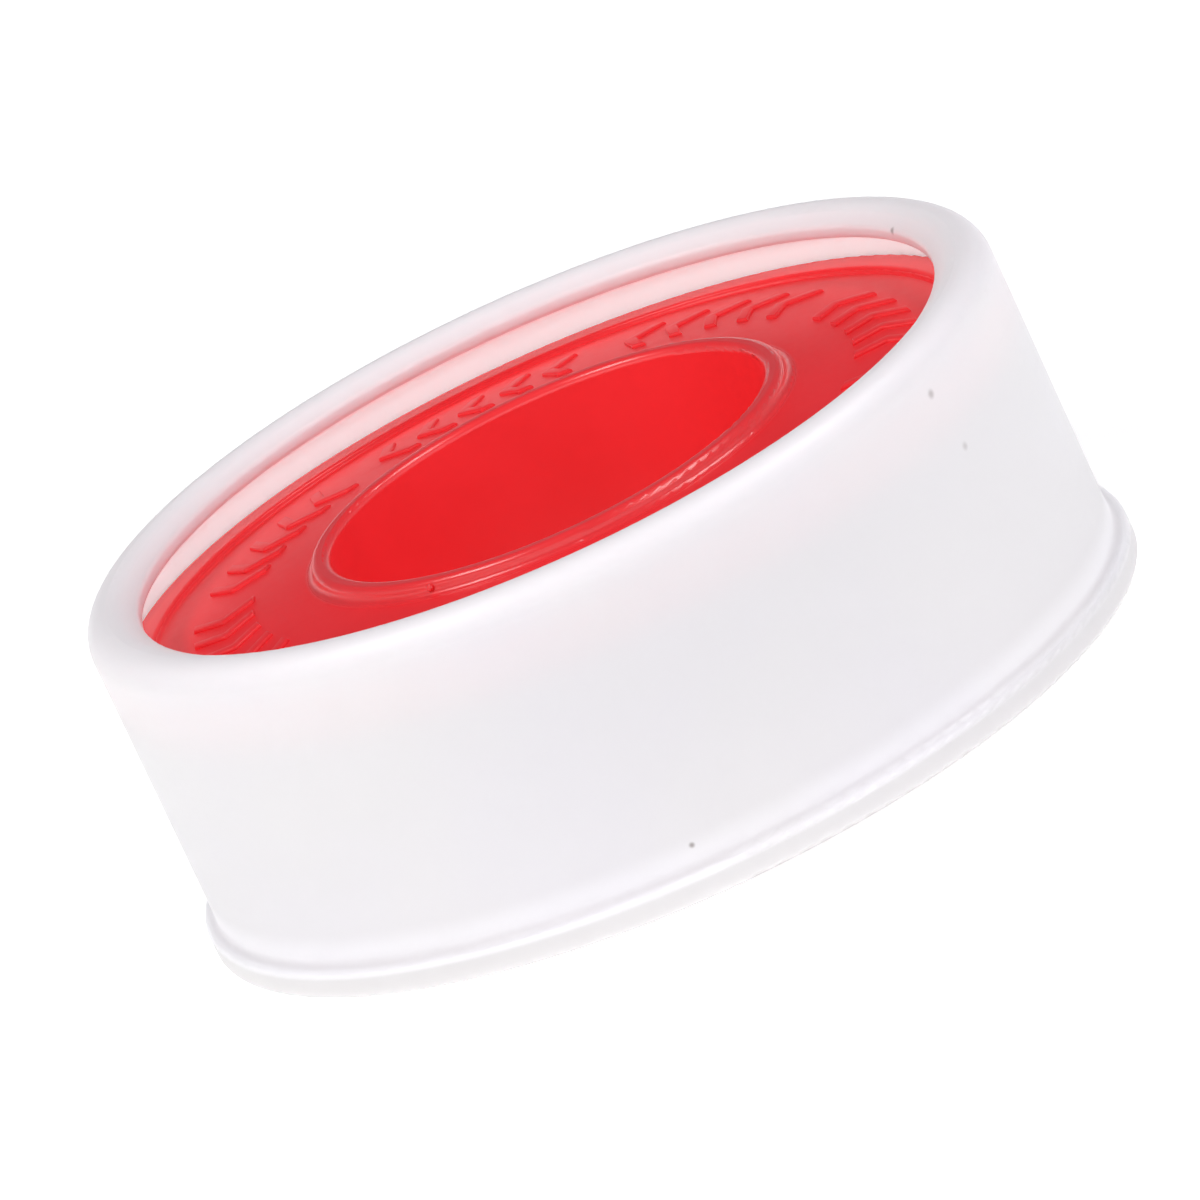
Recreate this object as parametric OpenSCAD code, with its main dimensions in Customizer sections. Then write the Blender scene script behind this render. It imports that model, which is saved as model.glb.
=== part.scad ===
// Thread seal tape roll: a red spool wound with white tape, under a white lift-off case.
// Millimetres, +Z up. The origin is the middle of the base that the roll stands on.

/* [Tape] */
// Width of the tape
tape_w = 12; // [8:0.5:25]
// Thickness of the tape
tape_t = 0.1; // [0.06:0.01:0.2]
// Length of tape on a full spool
tape_l = 10000; // [5000:500:15000]
// Turn of the free end past the start of the outer turn, in degrees
tail_turn = 28; // [10:1:80]
// Direction of the free end round the roll, in degrees
tail_at = 235; // [0:5:355]

/* [Spool] */
// Diameter of the bore
bore_d = 24; // [16:0.5:32]
// Wall of the hub
hub_wall = 1.3; // [0.8:0.1:2.5]
// Reach of the upper flange past the full winding
flange_over = 1.8; // [1:0.05:3]
// Thickness of the upper flange
flange_t = 1.3; // [0.8:0.1:2]
// Rise of the upper flange from its border to the collar
flange_rise = 0.95; // [0:0.05:2]
// Width of the raised border
border_w = 1.5; // [0.7:0.1:2]
// Height of the raised border above the flange
border_h = 0.3; // [0.25:0.05:1]
// Wall of the collar round the bore
collar_wall = 1; // [0.7:0.1:1]
// Height of the collar above the flange
collar_h = 0.7; // [0.7:0.05:2]
// Thickness of the lower flange
base_t = 1.2; // [1:0.1:2.5]
// Depth of the recess under the lower flange
base_recess = 0.4; // [0.2:0.1:0.6]

/* [Case] */
// Wall of the case
case_wall = 0.8; // [0.8:0.1:2]
// Reach of the lip in from the case's wall
lip_reach = 2.2; // [2:0.1:4]
// Fall of the lip's underside from its edge to the case's wall
lip_fall = 0.8; // [0.4:0.1:2]
// Height of the lip's blunt edge
lip_land = 0.7; // [0.6:0.1:1.5]
// Fall of the rim from its crown to the lip's edge
lip_drop = 0.7; // [0.4:0.05:1.2]
// Run of the rim from its crown to the lip's edge
lip_run = 1.1; // [0.8:0.1:1.3]
// Rounding of the rim's outer edge
rim_round = 1.5; // [0.6:0.1:1.7]
// Reach of the foot out from the case's wall
foot_reach = 0.7; // [0.5:0.05:2]
// Thickness of the foot
foot_t = 1.4; // [1.4:0.1:3]
// Width of the ledge that seats on the lower flange
seat_ledge = 0.5; // [0.3:0.1:0.7]

/* [Clearances] */
// Between the upper flange and the case's wall
flange_play = 0.15; // [0.15:0.05:0.6]
// Between the lower flange and its seat in the foot
seat_play = 0.1; // [0.05:0.05:0.2]
// Between the raised border and the level where the lip starts
lip_play = 1.2; // [0.6:0.1:3]
// Between the tape's edge and each flange
side_play = 0.1; // [0.05:0.05:0.3]
// Between the winding and the hub
hub_play = 0.03; // [0.01:0.01:0.1]
// Between the winding and its outer turn, and between the free end and the turn under it
turn_play = 0.1; // [0.05:0.05:0.3]

/* [Hidden] */
$fn = 128;

// Roundings of the spool's edges, the collar's foot and the case's small edges
edge_round = 0.25;
web_fillet = 0.2;
collar_fillet = 0.4;
collar_flare = 0.2;
border_slant = 0.15;
lip_round = 0.3;
lip_fillet = 0.8;
foot_round = 0.25;

// Shares of the collar's wall that its outer and inner roundings have as radius
collar_share = 0.42;
bore_share = 0.4;

// Share of the way from a rounding's chord to its centre that its piece reaches into the outline
overlap_share = 0.2;

// Radii, from the bore outwards
bore_r = bore_d / 2;
collar_r = bore_r + collar_wall;
hub_r = bore_r + hub_wall;
wind_r = sqrt(pow(hub_r, 2) + tape_l * tape_t / PI);
flange_r = wind_r + flange_over;
case_in_r = flange_r + flange_play;
case_r = case_in_r + case_wall;
base_r = case_in_r + seat_ledge;
seat_r = base_r + seat_play;
foot_r = case_r + foot_reach;
lip_r = case_in_r - lip_reach;
border_in_r = flange_r - border_w;

// Roundings of the collar's top
collar_round = collar_share * collar_wall;
bore_round = bore_share * collar_wall;

// The foot's fillet takes up what its rounding leaves. The crown's rounding takes up what the rim's leaves of
// the level top, or half the slope to the lip's edge where that is less
foot_fillet = foot_reach - foot_round;
rim_slope = norm([lip_run, lip_drop]);
rim_flat = lip_reach + case_wall - lip_run - rim_round;
crown_round = min(rim_flat, rim_slope / 2) / tan(atan(lip_drop / lip_run) / 2);

// Heights, from the base upwards
tape_z = base_t + side_play;
flange_z = tape_z + tape_w + side_play;
web_z = flange_z + flange_t;
border_z = web_z + border_h;
root_z = web_z + flange_rise;
collar_z = root_z + collar_h;
lip_foot_z = border_z + lip_play;
lip_edge_z = lip_foot_z + lip_fall;
lip_top_z = lip_edge_z + lip_land;
case_h = lip_top_z + lip_drop;
seat_z = base_t + seat_play;

// Unit vector from one point towards another
function aim(from, to) = (to - from) / norm(to - from);

// Half the angle between the two sides that meet at corner p
function half_angle(a, p, b) = acos(aim(p, a) * aim(p, b)) / 2;

// True where an outline that runs anticlockwise bulges at corner p
function bulges(a, p, b) = cross(p - a, b - p) > 0;

// Point on the side from p to q where a rounding of radius r starts
function tangent(p, q, half, r) = p + aim(p, q) * r / tan(half);

// Unit vector that halves the angle between the two sides that meet at corner p
function halving(a, p, b) = aim([0, 0], aim(p, a) + aim(p, b));

// Centre of a rounding of radius r at corner p
function round_centre(a, p, b, r) = p + halving(a, p, b) * r / sin(half_angle(a, p, b));

// Part of a rounding's circle that lies in the corner p, and a little of it past the line between its ends
module corner_round(a, p, b, r) {
    half = half_angle(a, p, b);
    ends = [tangent(p, a, half, r), tangent(p, b, half, r)];
    middle = (ends[0] + ends[1]) / 2;
    centre = round_centre(a, p, b, r);
    intersection() {
        translate(centre)
            circle(r = r);
        polygon([ends[0], p, ends[1], middle + (centre - middle) * overlap_share]);
    }
}

// Outline whose corners are [x, y, radius], anticlockwise, with true arcs at the rounded corners
module rounded_outline(corners) {
    count = len(corners);
    spots = [for (c = corners) [c[0], c[1]]];
    before = [for (i = [0 : count - 1]) spots[(i + count - 1) % count]];
    after = [for (i = [0 : count - 1]) spots[(i + 1) % count]];
    cut = [for (i = [0 : count - 1])
        let (p = spots[i], r = corners[i][2], half = half_angle(before[i], p, after[i]))
        each r > 0 ? [tangent(p, before[i], half, r), tangent(p, after[i], half, r)] : [p]];
    difference() {
        union() {
            polygon(cut);
            for (i = [0 : count - 1])
                if (corners[i][2] > 0 && bulges(before[i], spots[i], after[i]))
                    corner_round(before[i], spots[i], after[i], corners[i][2]);
        }
        for (i = [0 : count - 1])
            if (corners[i][2] > 0 && !bulges(before[i], spots[i], after[i]))
                corner_round(before[i], spots[i], after[i], corners[i][2]);
    }
}

// Lift-off case: a plain wall with a rounded rim, an inward lip and a foot that seats on the lower flange
module case() {
    color("whitesmoke")
        rotate_extrude()
            rounded_outline([
                [seat_r, 0, 0],
                [foot_r, 0, edge_round],
                [foot_r, foot_t, foot_round],
                [case_r, foot_t, foot_fillet],
                [case_r, case_h, rim_round],
                [lip_r + lip_run, case_h, crown_round],
                [lip_r, lip_top_z, lip_round],
                [lip_r, lip_edge_z, lip_round],
                [case_in_r, lip_foot_z, lip_fillet],
                [case_in_r, seat_z, 0],
                [seat_r, seat_z, 0],
            ]);
}

// Spool: hub and two flanges in one moulding. The upper flange is dished up to a collar round the bore
// and has a raised border
module spool() {
    color("crimson")
        rotate_extrude()
            rounded_outline([
                [bore_r, 0, edge_round],
                [hub_r, 0, 0],
                [hub_r, base_recess, 0],
                [border_in_r, base_recess, 0],
                [border_in_r, 0, 0],
                [base_r, 0, edge_round],
                [base_r, base_t, edge_round],
                [hub_r, base_t, 0],
                [hub_r, flange_z + flange_rise, 0],
                [flange_r, flange_z, edge_round],
                [flange_r, border_z, edge_round],
                [border_in_r, border_z, edge_round],
                [border_in_r - border_slant, web_z, web_fillet],
                [collar_r + collar_flare, root_z, collar_fillet],
                [collar_r, collar_z, collar_round],
                [bore_r, collar_z, bore_round],
            ]);
}

// Ring of tape between two radii, through an angle
module tape_band(inner, outer, angle) {
    rotate_extrude(angle = angle)
        translate([inner, tape_z])
            square([outer - inner, tape_w]);
}

// Tape on the hub, all but its outer turn
module tape_winding() {
    color("white")
        tape_band(hub_r + hub_play, wind_r, 360);
}

// Outer turn of tape: a spiral of two half turns about two centres, and the free end on top of its start
module tape_outer_turn() {
    start_r = wind_r + turn_play;
    step = tape_t + turn_play;
    half_r = start_r + step / 2;
    end_r = start_r + step;
    color("white")
        rotate([0, 0, tail_at]) {
            tape_band(start_r, start_r + tape_t, 180);
            translate([step / 2, 0, 0])
                rotate([0, 0, 180])
                    tape_band(half_r, half_r + tape_t, 180);
            tape_band(end_r, end_r + tape_t, tail_turn);
        }
}

case();
spool();
tape_winding();
tape_outer_turn();
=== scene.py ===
import math

import bpy
from mathutils import Matrix, Vector, noise


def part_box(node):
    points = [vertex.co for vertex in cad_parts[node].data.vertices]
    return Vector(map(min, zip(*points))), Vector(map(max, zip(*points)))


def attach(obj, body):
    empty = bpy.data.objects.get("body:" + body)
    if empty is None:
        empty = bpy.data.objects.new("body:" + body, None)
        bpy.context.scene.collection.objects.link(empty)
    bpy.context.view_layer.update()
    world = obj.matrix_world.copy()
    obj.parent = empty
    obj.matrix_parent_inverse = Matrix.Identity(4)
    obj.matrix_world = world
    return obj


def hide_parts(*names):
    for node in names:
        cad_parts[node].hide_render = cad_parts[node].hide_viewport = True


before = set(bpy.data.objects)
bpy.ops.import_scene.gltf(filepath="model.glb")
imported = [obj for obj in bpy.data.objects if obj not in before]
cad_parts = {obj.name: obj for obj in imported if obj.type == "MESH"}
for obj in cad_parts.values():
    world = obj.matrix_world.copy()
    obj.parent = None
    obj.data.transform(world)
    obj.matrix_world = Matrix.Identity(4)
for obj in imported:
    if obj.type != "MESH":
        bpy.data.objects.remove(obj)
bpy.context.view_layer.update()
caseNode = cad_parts["case"]
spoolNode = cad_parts["spool"]
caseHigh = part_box("case")[1]
print("frame: roll", round(2 * caseHigh.x, 4), "m across,", round(caseHigh.z, 4), "m high")


def reach(nodeName):  # nearest and furthest distance of a node from the roll's axis
    lengths = [v.co.xy.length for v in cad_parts[nodeName].data.vertices]
    return min(lengths), max(lengths)


def aroundAxis(radius, azimuth, height):  # azimuth in degrees, anticlockwise from +X
    turn = math.radians(azimuth)
    return Vector((radius * math.cos(turn), radius * math.sin(turn), height))


class Wire:  # one output of a node; sums and products of wires add Math nodes
    def __init__(self, tree, socket=None):
        self.tree = tree
        self.socket = socket

    def node(self, kind, settings, inputs):
        made = self.tree.nodes.new(kind)
        for name, value in settings.items():
            setattr(made, name, value)
        for name, value in inputs.items():
            if isinstance(value, Wire):
                self.tree.links.new(value.socket, made.inputs[name])
            else:
                made.inputs[name].default_value = value
        return Wire(self.tree, made.outputs[0] if made.outputs else None)

    def out(self, name):  # another output of the same node
        return Wire(self.tree, self.socket.node.outputs[name])

    def maths(self, operation, *values):
        return self.node("ShaderNodeMath", {"operation": operation}, dict(enumerate(values)))

    def __add__(self, other):
        return self.maths("ADD", self, other)

    def __sub__(self, other):
        return self.maths("SUBTRACT", self, other)

    def __rsub__(self, other):
        return self.maths("SUBTRACT", other, self)

    def __mul__(self, other):
        return self.maths("MULTIPLY", self, other)

    __radd__ = __add__
    __rmul__ = __mul__

    def rising(self, low, high):  # 0 below low, 1 above high, smooth between
        stops = {"Value": self, "From Min": low, "From Max": high}
        return self.node("ShaderNodeMapRange", {"interpolation_type": "SMOOTHSTEP"}, stops)

    def tint(self, first, second):  # the first colour at 0, the second at 1
        return self.node("ShaderNodeMix", {"data_type": "RGBA"}, {0: self, 6: first, 7: second}).out(2)

    def grain(self, place, stretch, scale, detail=3.0):  # noise from 0 to 1, long where stretch is small
        place = self.node("ShaderNodeVectorMath", {"operation": "MULTIPLY"}, {0: place, 1: stretch})
        return self.node("ShaderNodeTexNoise", {}, {"Vector": place, "Scale": scale, "Detail": detail})

    def fromAxis(self, place):  # distance from the roll's axis, and height
        parts = self.node("ShaderNodeSeparateXYZ", {}, {"Vector": place})
        across = parts.out("X")
        along = parts.out("Y")
        return self.maths("SQRT", across * across + along * along), parts.out("Z")

    def bump(self, height, strength, depth):
        relief = {"Strength": strength, "Distance": depth, "Height": height}
        return self.node("ShaderNodeBump", {}, relief)


evenStretch = (1, 1, 1)  # for noise that runs no way in particular


def startFinish(name):  # an empty material, its wire, and the place on the piece
    finish = bpy.data.materials.new(name)
    finish.use_nodes = True
    finish.node_tree.nodes.clear()
    wire = Wire(finish.node_tree)
    return finish, wire, wire.node("ShaderNodeTexCoord", {}, {}).out("Object")


def endFinish(wire, look):
    shader = wire.node("ShaderNodeBsdfPrincipled", {}, look)
    wire.node("ShaderNodeOutputMaterial", {}, {"Surface": shader})


caseLook = {
    "coolWhite": (0.731, 0.715, 0.739, 1),
    "warmWhite": (0.735, 0.721, 0.727, 1),
    # painted light: the rim's top is painted whiter than the wall
    "rimPaintedLight": (0.866, 0.849, 0.872, 1),
    "insidePaintedLight": (0.965, 0.955, 0.958, 1),
    "footPaintedShade": (0.660, 0.652, 0.652, 1),  # painted shade: the foot's low band is painted greyer
    "noGlow": (0, 0, 0, 1),
    "insidePaintedGlow": (0.14, 0.21, 0.21, 1),  # painted light: a glow that stands in for light through the thin wall
    "footPaintedGlow": (0.15, 0.155, 0.165, 1),  # painted light: a glow that lifts the shade in the foot's fillet
    "glowStrength": 1,
    # heights over which the rim's painted light comes in
    "rimHeights": (0.0171, 0.0182),
    "insideRadii": (0.02424, 0.02432),
    "insideStart": (0.0125, 0.0145),  # heights over which painted light makes the inside whiter and glowing, and back
    "insideEnd": (0.0168, 0.0171),
    "footStart": (0.0010, 0.0014),  # heights over which painted light makes the foot's top glow, and back; below the first, painted shade greys the foot
    "footEnd": (0.0016, 0.0034),
    "cloudScale": 70,
    "cloudRange": (0.3, 0.7),  # of the noise, from cool to warm
    "mottleScale": 1400,
    "mottleDetail": 2,
    "rubScale": 260,
    "rubStretch": (1, 1, 9),
    "rubRange": (0.55, 0.75),  # of the noise, from unmarked to rubbed
    "rubBump": 0.4,  # height of the rubbed marks beside the mottle's
    "roughness": 0.36,
    "mottleRoughness": 0.08,
    "rubRoughness": 0.06,
    "bump": 0.12,
    "bumpDepth": 0.00004,
    "ior": 1.49,
    "milky": 1.0,  # share of the light that goes into the plastic
    "milkRadius": (1.0, 1.0, 1.0),
    "milkDepth": 0.0018,
    "speckColour": (0.30, 0.27, 0.26, 1),
    "speckCore": 0.1,  # share of its size in which a fleck is darkest
    # azimuth, height, size, depth in from the wall, and strength of each dark fleck in the plastic
    "specks": (
        (318.4, 0.01600, 0.00036, 0, 0.6),
        (320.1, 0.01264, 0.00032, 0, 0.42),
        (266.7, 0.00272, 0.00022, 0, 1.0),
        (17.55, 0.01767, 0.00030, 0.00297, 0.9),
    ),
}


def caseFinish():  # white polypropylene: milky, satin, with faint handling marks, and painted light and shade on the rim, inside and foot
    finish, wire, place = startFinish("case white")
    cloud = wire.grain(place, evenStretch, caseLook["cloudScale"])
    mottle = wire.grain(place, evenStretch, caseLook["mottleScale"], caseLook["mottleDetail"])
    rubbed = wire.grain(place, caseLook["rubStretch"], caseLook["rubScale"]).rising(*caseLook["rubRange"])
    colour = cloud.rising(*caseLook["cloudRange"]).tint(caseLook["coolWhite"], caseLook["warmWhite"])
    radius, height = wire.fromAxis(place)
    # painted light: above the rim heights the colour is whiter
    colour = height.rising(*caseLook["rimHeights"]).tint(colour, caseLook["rimPaintedLight"])
    footTop = height.rising(*caseLook["footStart"]) - height.rising(*caseLook["footEnd"])
    # painted shade: below the foot's top the colour is greyer
    colour = height.rising(*caseLook["footStart"]).tint(caseLook["footPaintedShade"], colour)
    band = height.rising(*caseLook["insideStart"]) - height.rising(*caseLook["insideEnd"])
    inside = (1 - radius.rising(*caseLook["insideRadii"])) * band
    # painted light: the inside under the lip is painted whiter
    colour = inside.tint(colour, caseLook["insidePaintedLight"])
    # painted light: glow on the foot's top and on the inside
    glow = footTop.tint(caseLook["noGlow"], caseLook["footPaintedGlow"])
    glow = inside.tint(glow, caseLook["insidePaintedGlow"])
    wallRadius = caseNode.ray_cast((1, 0, caseHigh.z / 2), (-1, 0, 0))[1].x
    for azimuth, level, size, depth, strength in caseLook["specks"]:
        middle = aroundAxis(wallRadius - depth, azimuth, level)
        ends = {0: place, 1: middle}
        away = wire.node("ShaderNodeVectorMath", {"operation": "DISTANCE"}, ends).out("Value")
        fleck = strength * (1 - away.rising(caseLook["speckCore"] * size, size))
        colour = fleck.tint(colour, caseLook["speckColour"])
    rough = caseLook["roughness"] + caseLook["mottleRoughness"] * mottle
    rough = rough + caseLook["rubRoughness"] * rubbed
    relief = mottle + caseLook["rubBump"] * rubbed
    endFinish(wire, {
        "Base Color": colour,
        "Roughness": rough,
        "Normal": wire.bump(relief, caseLook["bump"], caseLook["bumpDepth"]),
        "IOR": caseLook["ior"],
        "Emission Color": glow,
        "Emission Strength": caseLook["glowStrength"],
        "Subsurface Weight": caseLook["milky"],
        "Subsurface Radius": caseLook["milkRadius"],
        "Subsurface Scale": caseLook["milkDepth"],
    })
    return finish


spoolLook = {
    "deepRed": (0.89, 0.026, 0.032, 1),
    "brightRed": (0.94, 0.031, 0.039, 1),
    "cloudScale": 120,
    "cloudRange": (0.3, 0.7),  # of the noise, from deep to bright
    "mottleScale": 1800,
    "mottleDetail": 2,
    "webInner": 0.0134,  # radii between which the flange is duller
    "webOuter": 0.0223,
    "webFade": 0.0003,
    "specular": 0.28,
    "coat": 0.8,  # on the collar and in the bore
    "coatRoughness": 0.30,
    "gloss": 0.20,
    "webRoughness": 0.14,
    "mottleRoughness": 0.05,
    "bump": 0.05,
    "bumpDepth": 0.00003,
    "ior": 1.49,
}


def spoolFinish():  # red polypropylene: glossy on the turned edges, a duller web between them
    finish, wire, place = startFinish("spool red")
    radius, _ = wire.fromAxis(place)
    inner = radius.rising(spoolLook["webInner"], spoolLook["webInner"] + spoolLook["webFade"])
    outer = radius.rising(spoolLook["webOuter"], spoolLook["webOuter"] + spoolLook["webFade"])
    cloud = wire.grain(place, evenStretch, spoolLook["cloudScale"])
    mottle = wire.grain(place, evenStretch, spoolLook["mottleScale"], spoolLook["mottleDetail"])
    rough = spoolLook["gloss"] + spoolLook["webRoughness"] * (inner * (1 - outer))
    rough = rough + spoolLook["mottleRoughness"] * mottle
    colour = cloud.rising(*spoolLook["cloudRange"]).tint(spoolLook["deepRed"], spoolLook["brightRed"])
    endFinish(wire, {
        "Base Color": colour,
        "Roughness": rough,
        "Normal": wire.bump(mottle, spoolLook["bump"], spoolLook["bumpDepth"]),
        "IOR": spoolLook["ior"],
        "Specular IOR Level": spoolLook["specular"],
        "Coat Weight": spoolLook["coat"] * (1 - inner),
        "Coat Roughness": spoolLook["coatRoughness"],
    })
    return finish


tapeLook = {
    "whiteFilm": (0.86, 0.86, 0.85, 1),
    "greyFilm": (0.80, 0.80, 0.80, 1),
    "lineScale": 90,
    "lineStretch": (1, 1, 40),
    "cloudScale": 160,
    "cloudStretch": (1, 1, 3),
    "lineShare": 0.6,  # of the lines and of the clouds in the colour
    "cloudShare": 0.4,
    "toneRange": (0.35, 0.65),  # of their sum, from grey to white
    "roughness": 0.5,
    "lineRoughness": 0.15,
    "bump": 0.3,
    "bumpDepth": 0.00005,
    "cloudBump": 0.5,  # height of the clouds beside the lines'
    "ior": 1.36,
    "milky": 0.3,
    "milkRadius": (1.0, 0.95, 0.9),
    "milkDepth": 0.0006,
}


def tapeFinish():  # soft white film with calender lines along its length
    finish, wire, place = startFinish("tape film")
    lines = wire.grain(place, tapeLook["lineStretch"], tapeLook["lineScale"])
    cloud = wire.grain(place, tapeLook["cloudStretch"], tapeLook["cloudScale"])
    tone = tapeLook["lineShare"] * lines + tapeLook["cloudShare"] * cloud
    relief = lines + tapeLook["cloudBump"] * cloud
    endFinish(wire, {
        "Base Color": tone.rising(*tapeLook["toneRange"]).tint(tapeLook["greyFilm"], tapeLook["whiteFilm"]),
        "Roughness": tapeLook["roughness"] + tapeLook["lineRoughness"] * lines,
        "Normal": wire.bump(relief, tapeLook["bump"], tapeLook["bumpDepth"]),
        "IOR": tapeLook["ior"],
        "Subsurface Weight": tapeLook["milky"],
        "Subsurface Radius": tapeLook["milkRadius"],
        "Subsurface Scale": tapeLook["milkDepth"],
    })
    return finish


caseNode.material_slots[0].material = caseFinish()
spoolNode.material_slots[0].material = spoolFinish()
filmFinish = tapeFinish()
print("finishes made")

smoothAngle = math.radians(40)  # edges that turn more than this stay sharp


def startStrip(name, steps, rows):  # a flat strip, selected alone
    bpy.ops.object.select_all(action="DESELECT")
    bpy.ops.mesh.primitive_grid_add(x_subdivisions=steps, y_subdivisions=rows, size=1)
    strip = bpy.context.object
    strip.name = name
    strip.data.name = name
    return strip


def thicken(piece, thickness):  # film thickness, then closed outward faces
    modifier = piece.modifiers.new("film", "SOLIDIFY")
    modifier.thickness = thickness
    modifier.offset = 0
    bpy.ops.object.modifier_apply(modifier=modifier.name)
    bpy.ops.object.mode_set(mode="EDIT")
    bpy.ops.mesh.select_all(action="SELECT")
    bpy.ops.mesh.normals_make_consistent(inside=False)
    bpy.ops.object.mode_set(mode="OBJECT")
    bpy.ops.object.shade_smooth_by_angle(angle=smoothAngle)


def dress(piece, finish, body):
    piece.data.materials.clear()
    piece.data.materials.append(finish)
    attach(piece, body)


woundTape = {
    "pitch": 0.0001,  # from one turn to the next
    "film": 0.000085,
    "stepsPerTurn": 72,
    "wander": 0.00003,  # of each turn's edges, up and down
    "wanderRate": 2.3,  # ups and downs in a turn
}


def makeWoundTape():  # every turn of the film on the hub, as one spiral
    inner, outer = reach("tape_winding")
    low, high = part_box("tape_winding")
    turns = (outer - inner) / woundTape["pitch"] - 1
    strip = startStrip("wound_tape", round(turns * woundTape["stepsPerTurn"]), 1)
    width = high.z - low.z - 2 * woundTape["wander"]
    for vertex in strip.data.vertices:
        turn = (vertex.co.x + 0.5) * turns
        radius = inner + woundTape["pitch"] * (turn + 0.5)
        lift = woundTape["wander"] * noise.noise((turn * woundTape["wanderRate"], 0, 0))
        vertex.co = aroundAxis(radius, 360 * turn, (low.z + high.z) / 2 + vertex.co.y * width + lift)
    thicken(strip, woundTape["film"])
    dress(strip, filmFinish, "spool")
    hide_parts("tape_winding")


outerTape = {
    "film": 0.00009,
    "startAt": 235,  # azimuth where the outer turn leaves the roll
    "sweep": 388,  # to the free end, in degrees
    "growth": 0.0002,  # of the radius in a full turn
    "steps": 460,
    "rows": 20,
    "ripple": 0.00003,
    "rippleAlong": 0.11,  # ripples in a degree
    "rippleAcross": 2.5,  # ripples in the width
    "rippleSeed": 9.1,
    "endLift": 0.00022,  # of the free end off the turn under it
    "endSweep": 7,  # degrees over which it lifts
    "tear": 1.6,  # degrees of unevenness in the torn end
    "tearRate": 5,  # jags in the width
    "tearSeed": 3.7,
}


def makeOuterTape():  # the last turn, with its torn free end standing off a little
    low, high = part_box("tape_outer_turn")
    inner, _ = reach("tape_outer_turn")
    strip = startStrip("outer_tape", outerTape["steps"], outerTape["rows"])
    width = high.z - low.z
    for vertex in strip.data.vertices:
        along = vertex.co.x + 0.5
        across = vertex.co.y
        jag = noise.noise((across * outerTape["tearRate"], outerTape["tearSeed"], 0))
        sweep = along * (outerTape["sweep"] + outerTape["tear"] * jag)
        ripplesAlong = sweep * outerTape["rippleAlong"]
        ripplesAcross = across * outerTape["rippleAcross"]
        wave = outerTape["ripple"] * noise.noise((ripplesAlong, ripplesAcross, outerTape["rippleSeed"]))
        free = max(0, (sweep - outerTape["sweep"] + outerTape["endSweep"]) / outerTape["endSweep"])
        radius = inner + outerTape["film"] / 2 + outerTape["growth"] * sweep / 360 + wave
        radius += outerTape["endLift"] * free * free
        height = (low.z + high.z) / 2 + across * width
        vertex.co = aroundAxis(radius, outerTape["startAt"] + sweep, height)
    thicken(strip, outerTape["film"])
    dress(strip, filmFinish, "outer_turn")
    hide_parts("tape_outer_turn")


makeWoundTape()
makeOuterTape()
print("tape wound")


turnMark = {
    "groups": 8,
    "perGroup": 5,
    "startAt": 80,  # azimuth of the first mark
    "step": 7.6,  # degrees from one mark to the next in a group
    "inner": 0.0166,
    "outer": 0.0201,
    "stroke": 0.00080,
    "point": 0.0011,  # reach of the bent middle
    "rise": 0.00018,
    "sunk": 0.0001,
    "edge": 0.00012,
    "edgeSteps": 3,
}


def makeTurnMarks():  # raised chevrons on the flange, which show the way the spool turns
    length = turnMark["outer"] - turnMark["inner"]
    tall = turnMark["rise"] + turnMark["sunk"]
    bpy.ops.object.select_all(action="DESELECT")
    bpy.ops.mesh.primitive_cube_add(size=1, scale=(length, turnMark["stroke"], tall))
    mark = bpy.context.object
    bpy.ops.object.transform_apply(location=True, rotation=True, scale=True)
    bpy.ops.object.mode_set(mode="EDIT")
    bpy.ops.mesh.select_all(action="SELECT")
    bpy.ops.mesh.bisect(plane_co=(0, 0, 0), plane_no=(1, 0, 0))
    bpy.ops.transform.translate(value=(0, turnMark["point"], 0))
    bpy.ops.object.mode_set(mode="OBJECT")
    for edge in mark.data.edges:
        edge.select = all(mark.data.vertices[i].co.z > 0 for i in edge.vertices)
    bpy.ops.object.mode_set(mode="EDIT")
    bpy.ops.mesh.select_mode(type="EDGE")
    bpy.ops.mesh.bevel(offset=turnMark["edge"], segments=turnMark["edgeSteps"], affect="EDGES")
    bpy.ops.object.mode_set(mode="OBJECT")
    bpy.ops.object.shade_smooth_by_angle(angle=smoothAngle)
    copies = []
    for group in range(turnMark["groups"]):
        for place in range(turnMark["perGroup"]):
            azimuth = turnMark["startAt"] + 360 * group / turnMark["groups"] + turnMark["step"] * place
            middle = aroundAxis((turnMark["inner"] + turnMark["outer"]) / 2, azimuth, caseHigh.z * 2)
            _, seat, normal, _ = spoolNode.ray_cast(middle, (0, 0, -1))
            copy = mark.copy()
            copy.data = mark.data.copy()
            bpy.context.collection.objects.link(copy)
            outward = Vector((seat.x, seat.y, 0)).normalized()
            sideways = normal.cross(outward).normalized()
            turned = Matrix((sideways.cross(normal), sideways, normal)).transposed().to_4x4()
            sink = normal * ((turnMark["rise"] - turnMark["sunk"]) / 2)
            copy.data.transform(Matrix.Translation(seat + sink) @ turned)
            copies.append(copy)
    bpy.data.objects.remove(mark)
    bpy.ops.object.select_all(action="DESELECT")
    for copy in copies:
        copy.select_set(True)
    bpy.context.view_layer.objects.active = copies[0]
    bpy.ops.object.join()
    marks = bpy.context.object
    marks.name = "turn_marks"
    marks.data.name = "turn_marks"
    dress(marks, spoolNode.material_slots[0].material, "spool")


makeTurnMarks()
print("marks raised")


gatePip = {
    "azimuth": 233.2,
    "height": 0.0160,
    "radius": 0.00020,
    "rise": 0.00016,
    "round": 0.00008,
    "roundSteps": 4,
    "sides": 20,
}


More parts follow.
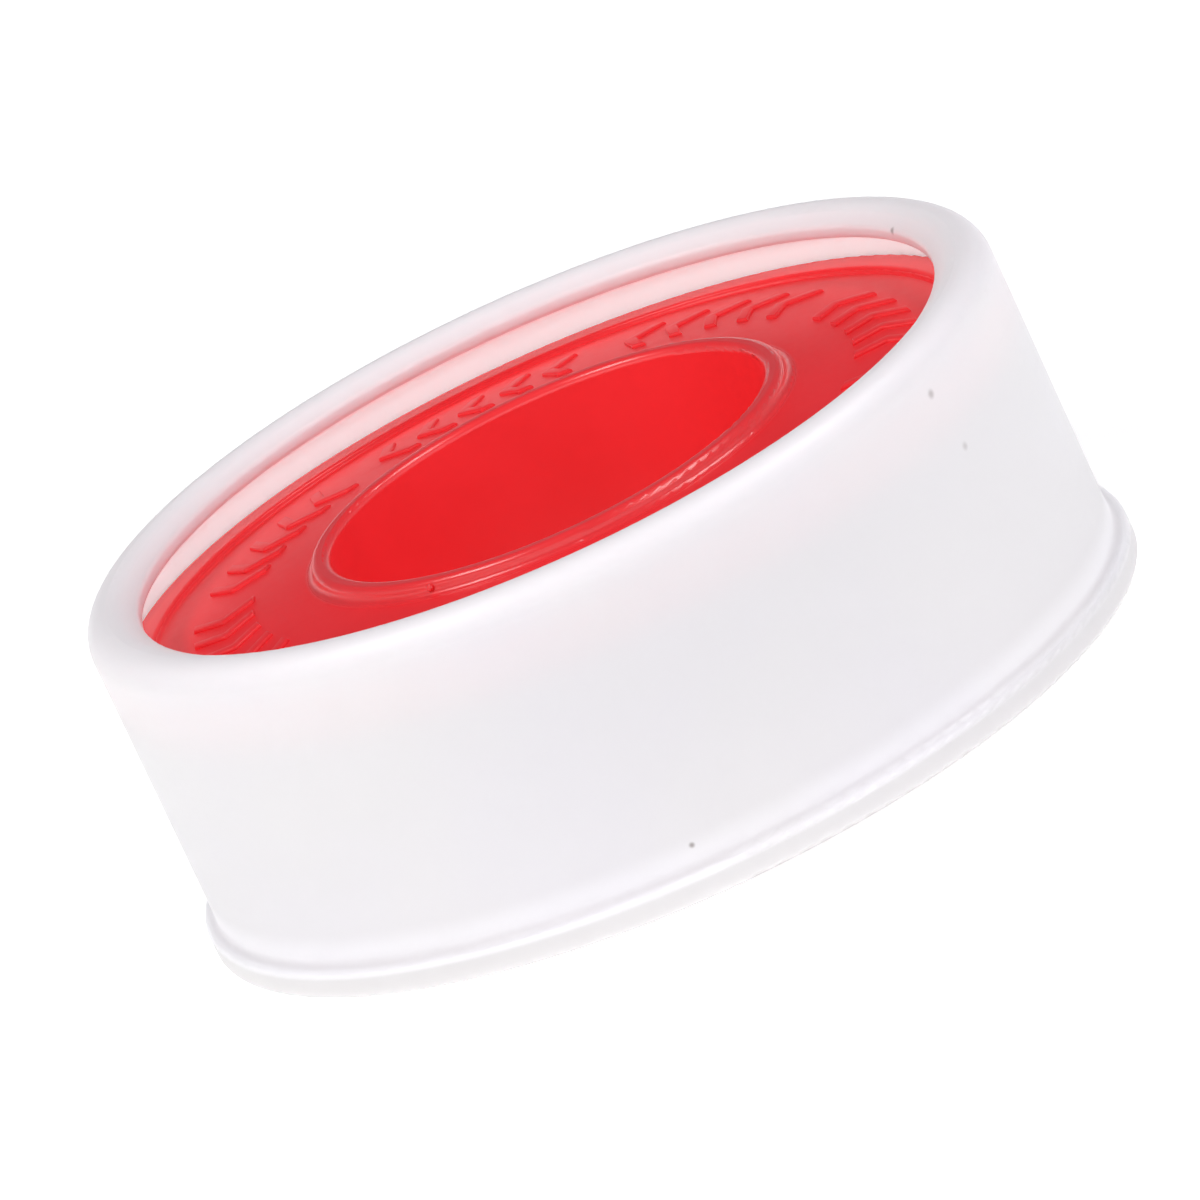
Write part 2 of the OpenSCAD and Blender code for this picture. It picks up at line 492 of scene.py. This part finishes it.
def makeGatePip():  # the nub that the mould's gate left on the collar
    outward = aroundAxis(1, gatePip["azimuth"], 0)
    start = outward * caseHigh.x + Vector((0, 0, gatePip["height"]))
    _, seat, normal, _ = spoolNode.ray_cast(start, -outward)
    bpy.ops.object.select_all(action="DESELECT")
    bpy.ops.mesh.primitive_cylinder_add(
        vertices=gatePip["sides"], radius=gatePip["radius"], depth=2 * gatePip["rise"],
        location=seat, rotation=normal.to_track_quat("Z", "Y").to_euler())
    pip = bpy.context.object
    pip.name = "gate_pip"
    pip.data.name = "gate_pip"
    bpy.ops.object.transform_apply(location=True, rotation=True, scale=True)
    for edge in pip.data.edges:
        edge.select = all((pip.data.vertices[i].co - seat).dot(normal) > 0 for i in edge.vertices)
    bpy.ops.object.mode_set(mode="EDIT")
    bpy.ops.mesh.select_mode(type="EDGE")
    bpy.ops.mesh.bevel(offset=gatePip["round"], segments=gatePip["roundSteps"], affect="EDGES")
    bpy.ops.object.mode_set(mode="OBJECT")
    bpy.ops.object.shade_smooth_by_angle(angle=smoothAngle)
    dress(pip, spoolNode.material_slots[0].material, "spool")


makeGatePip()
print("pip added")


stage = {
    "floorSide": 3.0,
    "floorDrop": 0.00012,
    "floorGlow": 0.43,
    "floorLight": (1, 1, 1, 1),
    "lightPaper": (0.97, 0.97, 0.97, 1),
    "darkPaper": (0.955, 0.955, 0.96, 1),
    "paperScale": 6,
    "paperRoughness": 0.85,
    "frontLeft": (2.02, 1.99, 1.98, 1),  # low in front, on the left
    "frontRight": (1.56, 1.53, 1.65, 1),  # low in front, on the right
    "frontHigh": (0.22, 0.22, 0.23, 1),
    "frontFade": (0.32, 0.62),  # from low to high, in sines of the elevation
    "rearLow": (0.8, 0.8, 0.82, 1),
    "rearHigh": (0.10, 0.10, 0.11, 1),
    "rearFade": (0.02, 0.20),
    "boxes": (  # name, azimuth, elevation, distance, width, height, watts
        ("left box", 195, 60, 0.6, 0.26, 0.12, 1.20),
        ("right box", 356, 56, 0.6, 0.30, 0.12, 1.05),
    ),
}


def floorFinish():  # pale paper on a light table
    finish, wire, place = startFinish("pale paper")
    cloud = wire.grain(place, evenStretch, stage["paperScale"])
    endFinish(wire, {
        "Base Color": cloud.tint(stage["darkPaper"], stage["lightPaper"]),
        "Roughness": stage["paperRoughness"],
        "Emission Color": stage["floorLight"],
        "Emission Strength": stage["floorGlow"],
    })
    return finish


def makeFloor():
    bpy.ops.object.select_all(action="DESELECT")
    bpy.ops.mesh.primitive_plane_add(size=stage["floorSide"], location=(0, 0, -stage["floorDrop"]))
    floor = bpy.context.object
    floor.name = "floor"
    bpy.ops.object.transform_apply(location=True, rotation=True, scale=True)
    floor.data.materials.append(floorFinish())


def makeSky():  # bright low down, more so in front and on the left; dim high up
    world = bpy.data.worlds.new("studio")
    world.use_nodes = True
    world.node_tree.nodes.clear()
    wire = Wire(world.node_tree)
    way = wire.node("ShaderNodeTexCoord", {}, {}).out("Generated")
    parts = wire.node("ShaderNodeSeparateXYZ", {}, {"Vector": way})
    low = parts.out("X").rising(-1, 1).tint(stage["frontLeft"], stage["frontRight"])
    front = parts.out("Z").rising(*stage["frontFade"]).tint(low, stage["frontHigh"])
    rear = parts.out("Z").rising(*stage["rearFade"]).tint(stage["rearLow"], stage["rearHigh"])
    glow = parts.out("Y").rising(-1, 1).tint(front, rear)
    sky = wire.node("ShaderNodeBackground", {}, {"Color": glow, "Strength": 1})
    wire.node("ShaderNodeOutputWorld", {}, {"Surface": sky})
    bpy.context.scene.world = world


def makeBoxes():
    middle = Vector((0, 0, caseHigh.z / 2))
    for name, azimuth, elevation, distance, width, height, watts in stage["boxes"]:
        lamp = bpy.data.lights.new(name, "AREA")
        lamp.shape = "RECTANGLE"
        lamp.size = width
        lamp.size_y = height
        lamp.energy = watts
        box = bpy.data.objects.new(name, lamp)
        bpy.context.collection.objects.link(box)
        rise = math.radians(elevation)
        box.location = middle + aroundAxis(distance * math.cos(rise), azimuth, distance * math.sin(rise))
        box.rotation_euler = (middle - box.location).to_track_quat("-Z", "Y").to_euler()


photoCamera = {
    "elevation": 17.162,  # degrees above the horizon
    "roll": -24.97,  # degrees, the tilt of the picture
    "distance": 0.7,  # from the middle of the rim
    "pixelsPerMetre": 19783,  # at that distance
    "rimPixel": (528.53, 425.59),  # where the middle of the rim shows
    "imageSide": 1200,
    "sensor": 36,
    "clipStart": 0.01,
}


def makeCamera():
    tilt = math.radians(photoCamera["elevation"])
    roll = math.radians(photoCamera["roll"])
    right = Vector((1, 0, 0))
    up = Vector((0, math.sin(tilt), math.cos(tilt)))
    back = Vector((0, -math.cos(tilt), math.sin(tilt)))
    sideways = right * math.cos(roll) + up * math.sin(roll)
    upright = up * math.cos(roll) - right * math.sin(roll)
    middle = photoCamera["imageSide"] / 2
    offset = [(p - middle) / photoCamera["pixelsPerMetre"] for p in photoCamera["rimPixel"]]
    rim = Vector((0, 0, caseHigh.z))
    camera = bpy.data.objects.new("camera", bpy.data.cameras.new("camera"))
    bpy.context.collection.objects.link(camera)
    camera.matrix_world = Matrix((sideways, upright, back)).transposed().to_4x4()
    camera.location = rim - sideways * offset[0] + upright * offset[1] + back * photoCamera["distance"]
    focal = photoCamera["pixelsPerMetre"] * photoCamera["distance"]
    camera.data.sensor_width = photoCamera["sensor"]
    camera.data.lens = focal * photoCamera["sensor"] / photoCamera["imageSide"]
    camera.data.clip_start = photoCamera["clipStart"]
    bpy.context.scene.camera = camera


makeFloor()
makeSky()
makeBoxes()
makeCamera()
bpy.context.scene.view_settings.view_transform = "Standard"
print("stage set")
